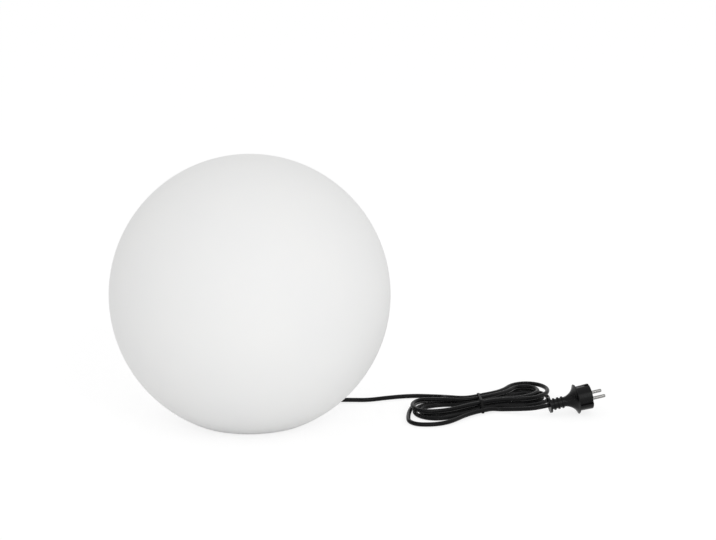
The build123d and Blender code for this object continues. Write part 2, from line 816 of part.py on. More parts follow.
def swept_core(points):
    """A single insulated core through the given points, with every corner rounded alike."""
    with BuildPart() as core:
        with BuildLine() as path:
            FilletPolyline(*points, radius=core_bend_radius)
        with BuildSketch(Plane(origin=path.wire() @ 0, z_dir=path.wire() % 0)):
            Circle(core_radius)
        sweep()
    return core.part


core_turn_height = disc_bottom - core_last_run - (core_landing - core_spread)


def core_start(turn):
    """Where a core leaves the cord's jacket, at a direction told from the cord's way out."""
    return Vector(*around(core_spread, cord_azimuth + turn), jacket_end_height)


for name, turn, side in (("core_line", 120, 1), ("core_neutral", -120, -1)):
    start = core_start(turn)
    landing = side_plane(disc_bottom).x_dir * side * core_landing
    save(swept_core([
        start,
        Vector(start.X, start.Y, core_turn_height),
        landing + up * (disc_bottom - core_last_run),
        landing + up * disc_bottom,
    ]), name)
start = core_start(0)
save(swept_core([
    start,
    Vector(start.X, start.Y, earth_loop_top),
    cord_direction * earth_loop_reach + up * earth_loop_top,
    cord_direction * earth_loop_reach + up * earth_loop_bottom,
]), "core_earth")

with BuildPart() as earth_end_cap:
    with BuildSketch(side_plane(earth_loop_bottom)):
        with Locations((0, -earth_loop_reach)):
            Circle(earth_cap_radius)
    extrude(amount=-earth_cap_length)
    fillet(earth_end_cap.edges().group_by(Axis.Z)[0], earth_cap_fillet)
save(earth_end_cap.part, "earth_end_cap")

# ---------------------------------------------------------------- free cord
section_area = pi * cord_radius**2


def corner_radii(points):
    """The largest arc that each corner's two runs allow."""
    radii = []
    for before, corner, after in zip(points, points[1:], points[2:]):
        run_in, run_out = corner - before, after - corner
        half_turn = radians(run_in.get_angle(run_out)) / 2
        radii.append(0.45 * min(run_in.length, run_out.length) / tan(half_turn))
    return radii


def swept_cord(points, label):
    """A cord's free stretch: straight runs joined by tangent arcs."""
    radii = corner_radii(points)
    with BuildPart() as stretch:
        with BuildLine() as path:
            FilletPolyline(*points, radius=radii)
        with BuildSketch(Plane(origin=path.wire() @ 0, z_dir=path.wire() % 0)):
            Circle(cord_radius)
        sweep()
    length = path.wire().length
    print(label, "radii", [round(r, 1) for r in radii], "length", round(length, 1))
    print(label, "volume over section times length", round(stretch.part.volume / (section_area * length), 4))
    save(stretch.part, label)
    return length


floor = cord_radius
lead_route = [
    cord_plane(tip_distance).origin,
    cord_plane(tip_distance + lead_first_run).origin,
    *[Vector(x, y, floor) for x, y in lead_points],
    Vector(*hank_entry, floor),
]
lead_length = swept_cord(lead_route, "cord_lead")

plug_axis = Vector(
    cos(radians(plug_tilt)) * cos(radians(plug_azimuth)),
    cos(radians(plug_tilt)) * sin(radians(plug_azimuth)),
    sin(radians(plug_tilt)),
)
near_side = Vector(sin(radians(plug_azimuth)), -cos(radians(plug_azimuth)), 0)
pin_line = near_side * cos(radians(plug_roll)) - near_side.cross(plug_axis) * sin(radians(plug_roll))
collar_centre = Vector(*plug_collar_place, plug_collar_radius * cos(radians(plug_tilt)) + floor_gap)
plug_tail = collar_centre - plug_axis * plug_collar_at
plug_route = [
    Vector(*hank_exit),
    Vector(*plug_lead_middle),
    plug_tail - plug_axis * plug_lead_straight,
    plug_tail,
]
plug_lead_length = swept_cord(plug_route, "cord_plug_lead")

# ---------------------------------------------------------------- hank
tie_stretch = 1 / cos(radians(tie_turn))
tie_inside = cord_radius * tie_stretch + tie_gap
waist_lift = tie_inside - cord_radius + tie_thickness + floor_gap
waist_axis = Vector(cos(radians(waist_heading)), sin(radians(waist_heading)), 0)
waist_side = up.cross(waist_axis)
waist = Vector(*waist_place, 0)
layer_heights = (floor, floor + layer_step)
middle_height = floor + layer_step / 2

# each loop: the direction and distance of its middle from the waist, the direction that its end
# points in, its half width, how far its end bulges, its layer, and the side that it is entered from
loops = [
    (34.1, 86.5, 63.2, 30.5, 33.0, 1, +1),
    (193.8, 79.7, 181.1, 26.2, 21.9, 1, +1),
    (34.5, 82.5, 58.7, 19.4, 20.5, 1, +1),
    (198.2, 70.7, 209.9, 19.6, 20.8, 0, -1),
    (26.5, 82.7, 25.6, 19.4, 19.9, 0, -1),
    (200.7, 66.7, 213.1, 31.5, 34.8, 0, -1),
    (28.1, 80.1, 51.3, 33.0, 29.7, 0, -1),
    (200.7, 85.8, 170.9, 51.8, 23.8, 0, -1),
]
# each pass through the waist: how far it lies to the far side of the middle, its height, and how
# far it turns from the hank's axis there
inner, outer = inner_strand_offset, inner_strand_offset + strand_step
passes = [
    (outer, layer_heights[1], 0.0),
    (-upper_front_offset, layer_heights[1], 0.0),
    (inner, layer_heights[1], 0.0),
    (0.0, middle_height, cross_heading),
    (-inner, layer_heights[0], 0.0),
    (lower_back_offset, layer_heights[0], 0.0),
    (-outer, layer_heights[0], 0.0),
    (lower_back_offset + strand_step, layer_heights[0], 0.0),
    (-last_strand_offset, layer_heights[0], last_strand_heading),
]


def unit(vector):
    return vector * (1 / vector.length)


def biarc(start, start_tangent, end, end_tangent):
    """Two arcs that leave start and reach end along their tangents and meet smoothly."""
    chord = end - start
    total = start_tangent + end_tangent
    slack = 2 * (1 - start_tangent.dot(end_tangent))
    along = chord.dot(total)
    if slack < 1e-9:
        reach = chord.dot(chord) / (4 * chord.dot(end_tangent))
    else:
        reach = (-along + sqrt(along**2 + slack * chord.dot(chord))) / slack
    joint = (start + end + (start_tangent - end_tangent) * reach) * 0.5
    joint_tangent = unit((end - end_tangent * reach) - (start + start_tangent * reach))
    TangentArc(start, joint, tangent=start_tangent)
    TangentArc(joint, end, tangent=joint_tangent)


def hank_stations():
    """Points of the hank with the cord's direction at each, from the entry to the exit."""
    entry = lead_route[-1]
    entry_tangent = unit(lead_route[-1] - lead_route[-2])
    ramp_tangent = Vector(cos(radians(hank_ramp_heading)), sin(radians(hank_ramp_heading)), hank_ramp_slope)
    stations = [
        (entry + entry_tangent * 2 * cord_radius, entry_tangent),
        (Vector(*hank_ramp_end), unit(ramp_tangent)),
    ]
    for i, (offset, height, turn) in enumerate(passes):
        tangent = waist_axis if i % 2 == 0 else waist_axis * -1
        tangent = unit(tangent + waist_side * tan(radians(turn)))
        if offset == 0:
            tangent = unit(tangent - up * cross_slope)
        stations.append((waist + waist_side * offset + up * (height + waist_lift), tangent))
        if i < len(loops):
            bearing, distance, pointing, half_width, bulge, layer, entry_side = loops[i]
            outward = Vector(cos(radians(pointing)), sin(radians(pointing)), 0)
            entered = up.cross(outward) * entry_side
            middle = waist + Vector(*around(distance, bearing), layer_heights[layer])
            stations.append((middle + entered * half_width, outward))
            stations.append((middle + outward * bulge, entered * -1))
            stations.append((middle - entered * half_width, outward * -1))
    exit_tangent = unit(plug_route[1] - plug_route[0])
    stations.append((plug_route[0] - exit_tangent * 2 * cord_radius, exit_tangent))
    return stations


def least_gap(wire, step=1.5, neighbour=30.0, cell=12.0):
    """The smallest distance between the surfaces of parts of the cord that lie apart along it."""
    count = int(wire.length / step)
    samples = [wire.position_at(i / count) for i in range(count + 1)]
    skip = int(neighbour / step)
    cells = {}
    for i, p in enumerate(samples):
        cells.setdefault((int(p.X // cell), int(p.Y // cell)), []).append(i)
    best = (1e9, None)
    for (cx, cy), members in cells.items():
        near = [j for dx in (-1, 0, 1) for dy in (-1, 0, 1) for j in cells.get((cx + dx, cy + dy), [])]
        for i in members:
            for j in near:
                if j - i > skip:
                    apart = (samples[i] - samples[j]).length
                    if apart < best[0]:
                        best = (apart, samples[i])
    return best[0] - 2 * cord_radius, best[1]


with BuildPart() as cord_hank:
    with BuildLine() as hank_path:
        stations = hank_stations()
        Line(lead_route[-1], stations[0][0])
        for (start, start_tangent), (end, end_tangent) in zip(stations, stations[1:]):
            biarc(start, start_tangent, end, end_tangent)
        Line(stations[-1][0], plug_route[0])
    hank_wire = hank_path.wire()
    with BuildSketch(Plane(origin=hank_wire @ 0, z_dir=hank_wire % 0)):
        Circle(cord_radius)
    sweep()
save(cord_hank.part, "cord_hank")
gap, gap_place = least_gap(hank_wire)
print("hank least gap to itself", round(gap, 2), "at", gap_place)
hank_arcs = hank_wire.edges().filter_by(GeomType.CIRCLE)
hank_ratio = cord_hank.part.volume / (section_area * hank_wire.length)
print("hank arc radii from", round(min(arc.radius for arc in hank_arcs), 1))
print("hank length", round(hank_wire.length, 1), "volume over section times length", round(hank_ratio, 4))
print("cord length", round(lead_length + hank_wire.length + plug_lead_length, 1))

low, high = layer_heights[0] + waist_lift, layer_heights[1] + waist_lift
held_corners = [
    (-last_strand_offset, low),
    (lower_back_offset + strand_step, low),
    (outer, high),
    (-upper_front_offset, high),
]
with BuildPart() as cable_tie:
    tie_side = waist_side.rotate(Axis.Z, tie_turn)
    for grown, mode in ((tie_inside + tie_thickness, Mode.ADD), (tie_inside, Mode.SUBTRACT)):
        with BuildSketch(Plane(origin=waist, x_dir=tie_side, z_dir=tie_side.cross(up))):
            Polygon(*[(across * tie_stretch, height) for across, height in held_corners], align=None)
            offset(amount=grown)
        extrude(amount=tie_width / 2, both=True, mode=mode)
save(cable_tie.part, "cable_tie")

# ---------------------------------------------------------------- plug
plug_profile = Plane(origin=plug_tail, x_dir=pin_line, z_dir=pin_line.cross(plug_axis))
body_start = plug_collar_at + plug_collar_lip
face_at = plug_collar_at + plug_body_length


def plug_plane(distance):
    """The plane square to the plug's axis at a distance from its tail: local x is the pins' line."""
    return Plane(origin=plug_tail + plug_axis * distance, x_dir=pin_line, z_dir=plug_axis)


with BuildPart() as plug_body:
    with BuildSketch(plug_profile):
        with BuildLine():
            outline = Polyline(
                (plug_sleeve_radius, plug_bell_start),
                (plug_sleeve_radius, plug_tail_length),
                (plug_tail_radius, plug_tail_length),
                (plug_tail_radius, 0),
                (0, 0),
                (0, face_at),
                (plug_body_radius, face_at),
                (plug_body_radius - plug_body_taper, body_start),
                (plug_collar_radius - plug_collar_lip / 2, body_start),
                (plug_collar_radius, plug_collar_at),
            )
            ThreePointArc(outline @ 1, plug_bell_middle, outline @ 0)
        make_face()
        with Locations(*[
            (plug_sleeve_radius / 2, plug_tail_length + plug_rib_start + plug_rib_step * i)
            for i in range(plug_ribs)
        ]):
            Rectangle(2 * plug_rib_radius - plug_sleeve_radius, plug_rib_length)
        Rectangle(2 * plug_rib_radius, 2 * face_at, align=(Align.MAX, Align.CENTER), mode=Mode.SUBTRACT)
    revolve(axis=Axis(plug_tail, plug_axis))
    face_edge = plug_body.edges().filter_by(GeomType.CIRCLE).sort_by(Axis(plug_tail, plug_axis))[-1]
    fillet(face_edge, plug_face_fillet)
    # guide notches in line with the pins, and seats of the earth contacts across them
    with BuildSketch(plug_plane(body_start)):
        with Locations((plug_body_radius, 0), (-plug_body_radius, 0)):
            Rectangle(2 * plug_notch_depth, plug_notch_width)
        with Locations((0, plug_body_radius), (0, -plug_body_radius)):
            Rectangle(earth_strip_width + fit_gap, 2 * (earth_strip_depth + fit_gap / 2))
    extrude(amount=plug_body_length, mode=Mode.SUBTRACT)
    with BuildSketch(plug_plane(face_at - bridge_length)):
        Circle(bridge_radius)
    extrude(amount=bridge_length, mode=Mode.SUBTRACT)
save(plug_body.part, "plug_body")

with BuildPart() as plug_bridge:
    with BuildSketch(plug_plane(face_at - bridge_length)):
        Circle(bridge_radius)
    extrude(amount=bridge_length + bridge_proud)
    with BuildSketch(plug_plane(face_at + bridge_proud)):
        with Locations((pin_pitch / 2, 0), (-pin_pitch / 2, 0)):
            Circle(pin_root_radius + thread_gap)
    extrude(amount=-pin_root, mode=Mode.SUBTRACT)
save(plug_bridge.part, "plug_bridge")

with BuildPart() as plug_pins:
    with BuildSketch(plug_plane(face_at + bridge_proud - pin_root)):
        with Locations((pin_pitch / 2, 0), (-pin_pitch / 2, 0)):
            Circle(pin_root_radius)
    extrude(amount=pin_root)
    with BuildSketch(plug_plane(face_at + bridge_proud)):
        with Locations((pin_pitch / 2, 0), (-pin_pitch / 2, 0)):
            Circle(pin_radius)
    extrude(amount=pin_length)
    tips = plug_pins.edges().group_by(Axis(plug_tail, plug_axis))[-1]
    fillet(tips, pin_tip_fillet)
save(plug_pins.part, "plug_pins")

strip_middle = plug_body_radius - earth_strip_depth - fit_gap / 2 + earth_strip_thickness / 2
with BuildPart() as plug_earth_contacts:
    with BuildSketch(plug_plane(body_start)):
        with Locations((0, strip_middle), (0, -strip_middle)):
            Rectangle(earth_strip_width, earth_strip_thickness)
    extrude(amount=plug_body_length - plug_collar_lip - earth_strip_end)
save(plug_earth_contacts.part, "plug_earth_contacts")
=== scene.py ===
import json
from math import acos, cos, pi, radians, sin, sqrt, tan

import bmesh
import bpy
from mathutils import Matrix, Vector


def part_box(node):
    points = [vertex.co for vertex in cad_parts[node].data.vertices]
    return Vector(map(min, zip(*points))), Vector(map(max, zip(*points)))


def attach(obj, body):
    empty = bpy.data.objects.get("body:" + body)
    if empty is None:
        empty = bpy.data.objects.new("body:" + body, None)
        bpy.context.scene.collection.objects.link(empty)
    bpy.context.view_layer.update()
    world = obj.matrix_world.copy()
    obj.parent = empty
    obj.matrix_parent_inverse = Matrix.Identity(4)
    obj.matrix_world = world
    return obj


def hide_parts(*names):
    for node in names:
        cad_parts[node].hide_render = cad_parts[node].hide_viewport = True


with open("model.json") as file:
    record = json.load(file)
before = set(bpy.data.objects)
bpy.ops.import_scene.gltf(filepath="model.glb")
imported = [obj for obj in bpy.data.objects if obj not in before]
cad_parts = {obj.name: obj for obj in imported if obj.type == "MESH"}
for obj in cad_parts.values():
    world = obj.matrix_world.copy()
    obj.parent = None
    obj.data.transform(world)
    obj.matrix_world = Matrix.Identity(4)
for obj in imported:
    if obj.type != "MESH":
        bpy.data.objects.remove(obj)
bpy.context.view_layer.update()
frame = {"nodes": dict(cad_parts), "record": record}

# Garden globe light, dressed. Metres, +Z up, the origin on the floor under the globe's centre.

nodes = frame["nodes"]
MM = 0.001
UP = Vector((0, 0, 1))


# ---------------------------------------------------------------- camera
CAMERA_PLACE = (0.15349, -2.73668, 0.96596)
CAMERA_DOWN = 15.3189          # degrees below the horizon
CAMERA_LENS = 100.56
SENSOR_WIDTH = 36.0


def make_camera():
    data = bpy.data.cameras.new("camera")
    data.lens = CAMERA_LENS
    data.sensor_width = SENSOR_WIDTH
    data.sensor_fit = "HORIZONTAL"
    camera = bpy.data.objects.new("camera", data)
    camera.location = CAMERA_PLACE
    camera.rotation_euler = (radians(90 - CAMERA_DOWN), 0, 0)
    bpy.context.scene.collection.objects.link(camera)
    bpy.context.scene.camera = camera


# ---------------------------------------------------------------- node helpers
def new_material(name):
    """A material with an empty tree but for its output and a Principled shader."""
    material = bpy.data.materials.new(name)
    material.use_nodes = True
    tree = material.node_tree
    tree.nodes.clear()
    output = tree.nodes.new("ShaderNodeOutputMaterial")
    shader = tree.nodes.new("ShaderNodeBsdfPrincipled")
    tree.links.new(shader.outputs["BSDF"], output.inputs["Surface"])
    return material, tree, shader


# features per metre of a moulded skin's tone and gloss, and of a metal's tarnish and machining marks
TONE_SCALE = 35
GLOSS_SCALE = 160
TARNISH_SCALE = 300
MARKS_SCALE = 900
GLOSS_SPREAD = 0.05            # either side of a moulded skin's roughness
TARNISH_TONE = 0.88            # of a metal's own colour
MARKS_SMOOTHER = 0.06          # below and above a metal's roughness
MARKS_ROUGHER = 0.08
NOISE_MIDDLE = (0.3, 0.7)      # where most of a noise's values lie

GLOBE_TONES = ((0.885, 0.887, 0.885), (0.9, 0.9, 0.893))
GLOBE_ROUGHNESS = (0.6, 0.68)
GLOBE_SPECULAR = 0.35
GLOBE_TONE_SCALE = 9
GLOBE_GLOSS_SCALE = 60
GLOBE_GRAIN_SCALE = 700
GLOBE_GRAIN = 0.06 * MM


def noise(tree, scale, detail=3):
    """Noise over the row's own metres; scale is features per metre."""
    place = tree.nodes.new("ShaderNodeTexCoord")
    texture = tree.nodes.new("ShaderNodeTexNoise")
    texture.inputs["Scale"].default_value = scale
    texture.inputs["Detail"].default_value = detail
    tree.links.new(place.outputs["Object"], texture.inputs["Vector"])
    return texture.outputs["Fac"]


def spread(tree, value, low, high):
    """Maps the middle of a noise's range onto low..high."""
    ranged = tree.nodes.new("ShaderNodeMapRange")
    ranged.inputs["From Min"].default_value = NOISE_MIDDLE[0]
    ranged.inputs["From Max"].default_value = NOISE_MIDDLE[1]
    ranged.inputs["To Min"].default_value = low
    ranged.inputs["To Max"].default_value = high
    tree.links.new(value, ranged.inputs["Value"])
    return ranged.outputs["Result"]


def blend_colours(tree, value, first, second):
    mix = tree.nodes.new("ShaderNodeMix")
    mix.data_type = "RGBA"
    mix.inputs["A"].default_value = (*first, 1)
    mix.inputs["B"].default_value = (*second, 1)
    tree.links.new(value, mix.inputs["Factor"])
    return mix.outputs["Result"]


def bump(tree, shader, height, depth):
    """Bump of a depth in metres."""
    node = tree.nodes.new("ShaderNodeBump")
    node.inputs["Strength"].default_value = 1.0
    node.inputs["Distance"].default_value = depth
    tree.links.new(height, node.inputs["Height"])
    tree.links.new(node.outputs["Normal"], shader.inputs["Normal"])


def scaled(colour, factor):
    return tuple(min(1.0, channel * factor) for channel in colour)


def moulded(name, colour, roughness, specular=0.5, grain=0.00004, grain_scale=2200, wear=0.12):
    """A moulded plastic or rubber skin: fine grain, slow changes of tone, uneven gloss.

    grain is the depth of the grain in metres, grain_scale its features per metre, and wear how far
    the tone strays from the colour."""
    material, tree, shader = new_material(name)
    tone = noise(tree, TONE_SCALE, 4)
    both = blend_colours(tree, spread(tree, tone, 0, 1), scaled(colour, 1 - wear), scaled(colour, 1 + wear))
    tree.links.new(both, shader.inputs["Base Color"])
    gloss = noise(tree, GLOSS_SCALE)
    uneven = spread(tree, gloss, roughness - GLOSS_SPREAD, roughness + GLOSS_SPREAD)
    tree.links.new(uneven, shader.inputs["Roughness"])
    shader.inputs["Specular IOR Level"].default_value = specular
    bump(tree, shader, noise(tree, grain_scale, 2), grain)
    return material


def metal(name, colour, roughness, grain=0.00001):
    """A metal with fine machining marks and slight tarnish."""
    material, tree, shader = new_material(name)
    tone = noise(tree, TARNISH_SCALE, 4)
    both = blend_colours(tree, spread(tree, tone, 0, 1), scaled(colour, TARNISH_TONE), colour)
    tree.links.new(both, shader.inputs["Base Color"])
    shader.inputs["Metallic"].default_value = 1.0
    marks = noise(tree, MARKS_SCALE)
    uneven = spread(tree, marks, roughness - MARKS_SMOOTHER, roughness + MARKS_ROUGHER)
    tree.links.new(uneven, shader.inputs["Roughness"])
    bump(tree, shader, marks, grain)
    return material


def globe_plastic():
    """White translucent polyethylene with a fine matte skin."""
    material, tree, shader = new_material("globe_plastic")
    tone = noise(tree, GLOBE_TONE_SCALE)
    both = blend_colours(tree, spread(tree, tone, 0, 1), *GLOBE_TONES)
    tree.links.new(both, shader.inputs["Base Color"])
    gloss = noise(tree, GLOBE_GLOSS_SCALE)
    tree.links.new(spread(tree, gloss, *GLOBE_ROUGHNESS), shader.inputs["Roughness"])
    shader.inputs["Specular IOR Level"].default_value = GLOBE_SPECULAR
    bump(tree, shader, noise(tree, GLOBE_GRAIN_SCALE), GLOBE_GRAIN)
    return material


# ---------------------------------------------------------------- stage
FLOOR_SIZE = 60.0
FLOOR_DROP = 0.3 * MM          # under the origin, so that the feet don't flicker in it
FLOOR_OWN_LIGHT = 0.8
FLOOR_PALE = 0.92              # its tone for the light that it gives back
FLOOR_SHADE = 0.26             # how far the shadow shows on it
WORLD_LIGHT = 0.765
# each lamp's name, place, aim, width in metres and power in watts
LAMPS = [
    ("key", (1.6, -3.2, 1.7), (0, 0, 0.18), 0.7, 9),
    ("high", (1.1, -2.7, 2.7), (0.1, 0, 0.15), 0.6, 9),
    ("low", (0.2, -3.4, 0.5), (0, 0, 0.1), 1.2, 9.5),
]


def seen_directly(tree):
    """1 for rays that show a thing as it is: camera, glossy and transmission rays."""
    path = tree.nodes.new("ShaderNodeLightPath")
    total = path.outputs["Is Camera Ray"]
    for other in ("Is Glossy Ray", "Is Transmission Ray"):
        adder = tree.nodes.new("ShaderNodeMath")
        adder.operation = "MAXIMUM"
        tree.links.new(total, adder.inputs[0])
        tree.links.new(path.outputs[other], adder.inputs[1])
        total = adder.outputs[0]
    return total


def floor_white():
    """White where it is seen directly, but for its own shade, which keeps the object's shadow."""
    material = bpy.data.materials.new("floor_white")
    material.use_nodes = True
    tree = material.node_tree
    tree.nodes.clear()
    output = tree.nodes.new("ShaderNodeOutputMaterial")
    plain = tree.nodes.new("ShaderNodeBsdfDiffuse")
    plain.inputs["Color"].default_value = (FLOOR_PALE, FLOOR_PALE, FLOOR_PALE, 1)
    shade = tree.nodes.new("ShaderNodeBsdfDiffuse")
    shade.inputs["Color"].default_value = (FLOOR_SHADE, FLOOR_SHADE, FLOOR_SHADE, 1)
    glow = tree.nodes.new("ShaderNodeEmission")
    glow.inputs["Strength"].default_value = FLOOR_OWN_LIGHT
    both = tree.nodes.new("ShaderNodeAddShader")
    mix = tree.nodes.new("ShaderNodeMixShader")
    tree.links.new(shade.outputs[0], both.inputs[0])
    tree.links.new(glow.outputs[0], both.inputs[1])
    tree.links.new(seen_directly(tree), mix.inputs[0])
    tree.links.new(plain.outputs[0], mix.inputs[1])
    tree.links.new(both.outputs[0], mix.inputs[2])
    tree.links.new(mix.outputs[0], output.inputs["Surface"])
    return material


def make_floor():
    mesh = bpy.data.meshes.new("floor")
    half = FLOOR_SIZE / 2
    corners = [(x * half, y * half, -FLOOR_DROP) for x, y in ((-1, -1), (1, -1), (1, 1), (-1, 1))]
    mesh.from_pydata(corners, [], [(0, 1, 2, 3)])
    mesh.materials.append(floor_white())
    floor = bpy.data.objects.new("floor", mesh)
    bpy.context.scene.collection.objects.link(floor)


def make_world():
    world = bpy.data.worlds.new("world")
    bpy.context.scene.world = world
    world.use_nodes = True
    tree = world.node_tree
    tree.nodes.clear()
    output = tree.nodes.new("ShaderNodeOutputWorld")
    light = tree.nodes.new("ShaderNodeBackground")
    light.inputs["Strength"].default_value = WORLD_LIGHT
    shown = tree.nodes.new("ShaderNodeBackground")
    shown.inputs["Strength"].default_value = 1.0
    for background in (light, shown):
        background.inputs["Color"].default_value = (1, 1, 1, 1)
    mix = tree.nodes.new("ShaderNodeMixShader")
    tree.links.new(seen_directly(tree), mix.inputs[0])
    tree.links.new(light.outputs[0], mix.inputs[1])
    tree.links.new(shown.outputs[0], mix.inputs[2])
    tree.links.new(mix.outputs[0], output.inputs["Surface"])


def area_light(name, place, aim, size, power):
    data = bpy.data.lights.new(name, "AREA")
    data.shape = "DISK"
    data.size = size
    data.energy = power
    lamp = bpy.data.objects.new(name, data)
    lamp.location = place
    lamp.rotation_euler = (Vector(aim) - Vector(place)).to_track_quat("-Z", "Y").to_euler()
    bpy.context.scene.collection.objects.link(lamp)


def make_stage():
    scene = bpy.context.scene
    scene.view_settings.view_transform = "Standard"
    make_world()
    make_floor()
    for lamp in LAMPS:
        area_light(*lamp)


# ---------------------------------------------------------------- cord
# angles and headings in degrees, anticlockwise from +X as seen from above
CORD_RADIUS = 3.15 * MM
CORD_AZIMUTH = 21.5
GLAND_HEIGHT = 5.8 * MM
RELIEF_TIP = 102 * MM
LEAD_FIRST_RUN = 24 * MM
# its way over the floor to the hank, in millimetres
LEAD_POINTS = [(143.0, 54.2), (167.5, 53.0), (194.0, 62.8), (219.0, 70.0), (241.0, 72.5), (259.3, 70.7)]
HANK_RAMP_END = Vector((298.6, 39.9, 11.4)) * MM
HANK_RAMP_HEADING = -26.6
HANK_RAMP_SLOPE = 0.08
WAIST = Vector((331.8, 28.5, 0)) * MM
WAIST_HEADING = 29.3
WAIST_LIFT = 1.73 * MM
LAYER_STEP = 7.0 * MM
# the strands' offsets at the waist, in millimetres, the far side positive
INNER_STRAND = 8.0
STRAND_STEP = 8.6
LAST_STRAND = -24.2
UPPER_FRONT = -10.6
LOWER_BACK = 10.9
CROSS_HEADING = 3.7
CROSS_SLOPE = 0.07
LAST_HEADING = -4.0
HANK_EXIT = Vector((371.0, 8.5, 4.6)) * MM
PLUG_LEAD_MIDDLE = Vector((391.0, 1.9, 7.2)) * MM
PLUG_LEAD_STRAIGHT = 20 * MM
PLUG_TILT = 10.0
PLUG_AZIMUTH = 10.0
PLUG_COLLAR = Vector((468.6, 4.6, 0)) * MM
PLUG_COLLAR_RADIUS = 21.65 * MM
PLUG_COLLAR_AT = 40.5 * MM
FLOOR_GAP = 0.1 * MM
TURN_POINTS = 4                # of the spline to each even turn

# each loop: the direction and distance of its middle from the waist, the direction that its end
# points in, its half width, how far its end bulges, its layer, and the side that it is entered
# from; lengths in millimetres
LOOPS = [
    (34.1, 86.5, 63.2, 30.5, 33.0, 1, +1),
    (193.8, 79.7, 181.1, 26.2, 21.9, 1, +1),
    (34.5, 82.5, 58.7, 19.4, 20.5, 1, +1),
    (198.2, 70.7, 209.9, 19.6, 20.8, 0, -1),
    (26.5, 82.7, 25.6, 19.4, 19.9, 0, -1),
    (200.7, 66.7, 213.1, 31.5, 34.8, 0, -1),
    (28.1, 80.1, 51.3, 33.0, 29.7, 0, -1),
    (200.7, 85.8, 170.9, 51.8, 23.8, 0, -1),
]
# each pass through the waist: its offset to the far side, its layer, and its turn off the hank's axis
OUTER_STRAND = INNER_STRAND + STRAND_STEP
PASSES = [
    (OUTER_STRAND, 1, 0.0),
    (UPPER_FRONT, 1, 0.0),
    (INNER_STRAND, 1, 0.0),
    (0.0, 0.5, CROSS_HEADING),
    (-INNER_STRAND, 0, 0.0),
    (LOWER_BACK, 0, 0.0),
    (-OUTER_STRAND, 0, 0.0),
    (LOWER_BACK + STRAND_STEP, 0, 0.0),
    (LAST_STRAND, 0, LAST_HEADING),
]


def heading(degrees):
    return Vector((cos(radians(degrees)), sin(radians(degrees)), 0))


def arc_points(start, start_way, end, end_way):
    """Points of an even turn from start to end, the last one included."""
    turn = acos(max(-1.0, min(1.0, start_way.dot(end_way))))
    reach = (end - start).length / cos(turn / 4) ** 2
    points = []
    for i in range(1, TURN_POINTS + 1):
        t = i / TURN_POINTS
        points.append(
            start * (2 * t**3 - 3 * t**2 + 1)
            + start_way * reach * (t**3 - 2 * t**2 + t)
            + end * (3 * t**2 - 2 * t**3)
            + end_way * reach * (t**3 - t**2)
        )
    return points


def smooth_points(start, start_way, end, end_way):
    """Points from start to end in two even turns that meet where both bend least."""
    chord = end - start
    slack = 2 * (1 - start_way.dot(end_way))
    along = chord.dot(start_way + end_way)
    if slack < 1e-9:
        reach = chord.dot(chord) / (4 * chord.dot(end_way))
    else:
        reach = (sqrt(along**2 + slack * chord.dot(chord)) - along) / slack
    middle = (start + end + (start_way - end_way) * reach) / 2
    middle_way = (chord - (start_way + end_way) * reach).normalized()
    return arc_points(start, start_way, middle, middle_way) + arc_points(middle, middle_way, end, end_way)


def plug_tail():
    """Where the cord enters the plug, and the plug's axis."""
    level = heading(PLUG_AZIMUTH)
    axis = level * cos(radians(PLUG_TILT)) + UP * sin(radians(PLUG_TILT))
    collar = PLUG_COLLAR + UP * (PLUG_COLLAR_RADIUS * cos(radians(PLUG_TILT)) + FLOOR_GAP)
    return collar - axis * PLUG_COLLAR_AT, axis


def hank_points(entry, entry_way, leave, leave_way):
    """The hank: out of each pass through the waist into a loop and back, layer by layer."""
    waist_way = heading(WAIST_HEADING)
    waist_side = UP.cross(waist_way)
    stations = [(entry, entry_way)]
    ramp_way = (heading(HANK_RAMP_HEADING) + UP * HANK_RAMP_SLOPE).normalized()
    stations.append((HANK_RAMP_END, ramp_way))
    for i, (offset, layer, turn) in enumerate(PASSES):
        way = waist_way if i % 2 == 0 else -waist_way
        way = way + waist_side * tan(radians(turn))
        if offset == 0:
            way = way.normalized() - UP * CROSS_SLOPE
        height = CORD_RADIUS + layer * LAYER_STEP + WAIST_LIFT
        stations.append((WAIST + waist_side * offset * MM + UP * height, way.normalized()))
        if i < len(LOOPS):
            bearing, distance, pointing, half_width, bulge, layer, entry_side = LOOPS[i]
            outward = heading(pointing)
            entered = UP.cross(outward) * entry_side
            middle = WAIST + heading(bearing) * distance * MM + UP * (CORD_RADIUS + layer * LAYER_STEP)
            stations.append((middle + entered * half_width * MM, outward))
            stations.append((middle + outward * bulge * MM, -entered))
            stations.append((middle - entered * half_width * MM, -outward))
    stations.append((leave, leave_way))
    points = [entry]
    for (start, start_way), (end, end_way) in zip(stations, stations[1:]):
        points += smooth_points(start, start_way, end, end_way)
    return points


def cord_points():
    out = heading(CORD_AZIMUTH)
    gland = UP * GLAND_HEIGHT
    lead = [out * RELIEF_TIP + gland, out * (RELIEF_TIP + LEAD_FIRST_RUN) + gland]
    lead += [Vector((x * MM, y * MM, CORD_RADIUS)) for x, y in LEAD_POINTS]
    tail, axis = plug_tail()
    end = [HANK_EXIT, PLUG_LEAD_MIDDLE, tail - axis * PLUG_LEAD_STRAIGHT, tail]
    entry_way = (lead[-1] - lead[-2]).normalized()
    leave_way = (end[1] - end[0]).normalized()
    step = 2 * CORD_RADIUS
    hank = hank_points(lead[-1] + entry_way * step, entry_way, end[0] - leave_way * step, leave_way)
    return lead + hank + end


